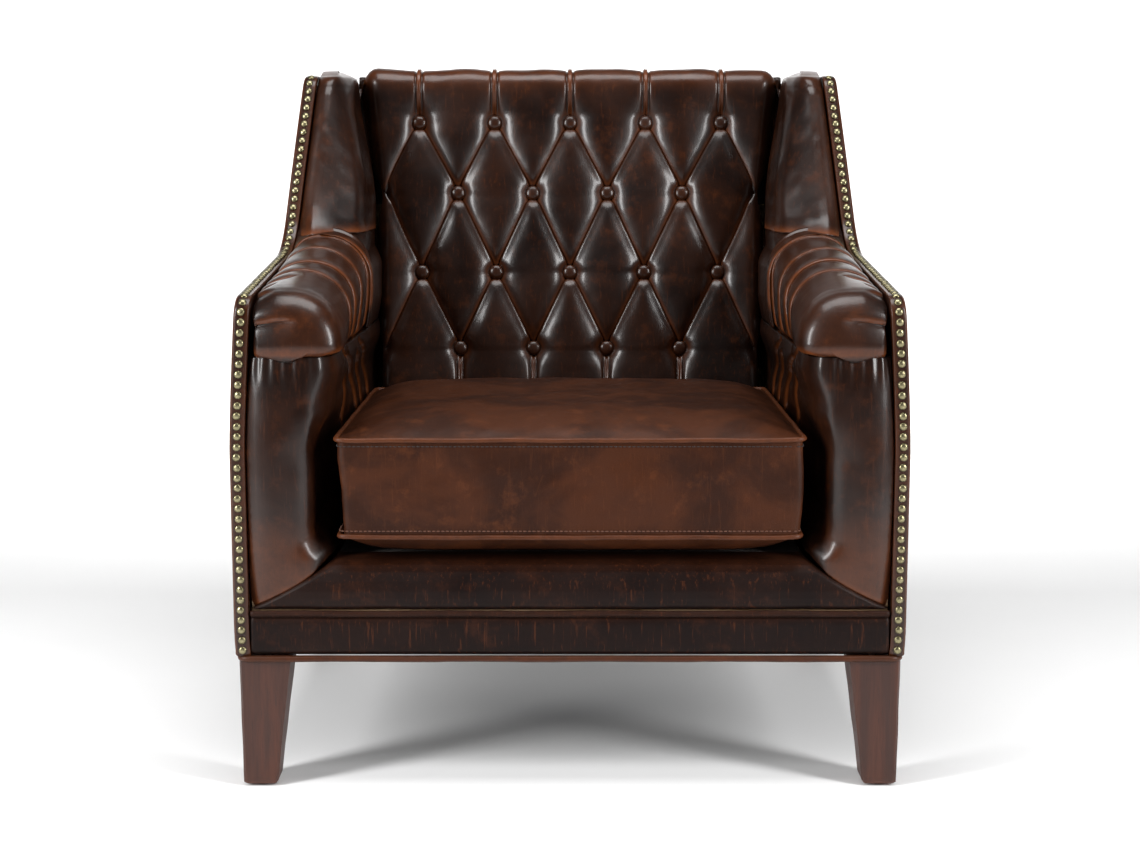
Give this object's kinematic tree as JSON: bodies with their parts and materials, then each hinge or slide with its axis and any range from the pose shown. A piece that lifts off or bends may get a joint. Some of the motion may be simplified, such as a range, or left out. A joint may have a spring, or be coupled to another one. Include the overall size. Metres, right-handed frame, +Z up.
{
  "type": "armchair",
  "caption": "Deep-buttoned leather club armchair with padded wings, pleated roll arms, nail-trimmed edges, a loose seat cushion and tapered wooden legs.",
  "frame": {"origin": "on the floor under the middle of the bounding box", "axes": "+Z up, the chair faces -Y, +X to the right as seen from in front of the chair"},
  "size_m": [0.864, 0.7624, 0.946],
  "materials": {
    "wood_frame": "matte",
    "plywood": "matte",
    "wood_leg": "satin",
    "steel": "satin",
    "brass_insert": "satin",
    "glide": "matte",
    "dust_cover": "matte",
    "leather_dark": "satin",
    "leather_border": "satin",
    "leather_seat": "matte",
    "leather_piping": "satin",
    "padding": "matte",
    "webbing": "matte",
    "twine": "matte",
    "nail_brass": "satin",
    "zip_tape": "matte"
  },
  "bodies": {
    "chair": {"front_rail": "wood_frame", "rear_rail": "wood_frame", "side_rail_left": "wood_frame", "side_rail_right": "wood_frame", "corner_blocks": "wood_frame", "corner_block_screws": "steel", "arm_post_left": "wood_frame", "arm_post_right": "wood_frame", "arm_top_rail_left": "wood_frame", "arm_top_rail_right": "wood_frame", "arm_tack_rail_left": "wood_frame", "arm_tack_rail_right": "wood_frame", "arm_board_left": "plywood", "arm_board_right": "plywood", "back_post_left": "wood_frame", "back_post_right": "wood_frame", "back_top_rail": "wood_frame", "back_lower_rail": "wood_frame", "wing_board_left": "plywood", "wing_board_right": "plywood", "front_leg_left": "wood_leg", "front_leg_right": "wood_leg", "rear_leg_left": "wood_leg", "rear_leg_right": "wood_leg", "leg_bolts": "steel", "leg_inserts": "brass_insert", "leg_glides": "glide", "dust_cover": "dust_cover", "base_piping": "leather_piping", "seat_springs": "steel", "spring_clips": "steel", "deck_pad": "padding", "deck_cover": "leather_border", "front_border_upper": "leather_border", "front_border_lower": "leather_border", "border_piping": "leather_piping", "arm_inside_left": "leather_dark", "arm_inside_right": "leather_dark", "arm_roll_left": "leather_dark", "arm_roll_right": "leather_dark", "wing_pad_left": "leather_dark", "wing_pad_right": "leather_dark", "back_cover": "leather_dark", "back_foam": "padding", "back_buttons": "leather_dark", "button_twines": "twine", "back_webbing": "webbing", "outside_back": "leather_dark", "back_piping": "leather_piping", "outside_panel_left": "leather_dark", "outside_panel_right": "leather_dark", "nail_trim_left": "nail_brass", "nail_trim_right": "nail_brass"},
    "seat_cushion": {"cushion_cover": "leather_seat", "cushion_foam": "padding", "cushion_piping_top": "leather_piping", "cushion_piping_bottom": "leather_piping", "cushion_zipper": "zip_tape"},
    "slider": {"zip_slider": "steel"}
  },
  "joints": [
    {"name": "cushion_slide", "type": "slide", "parent": "chair", "child": "seat_cushion", "axis": [0, -1, 0], "range_m": [0, 0.6]},
    {"name": "zip_slide", "type": "slide", "parent": "seat_cushion", "child": "slider", "axis": [1, 0, 0], "range_m": [0, 0.46]}
  ]
}
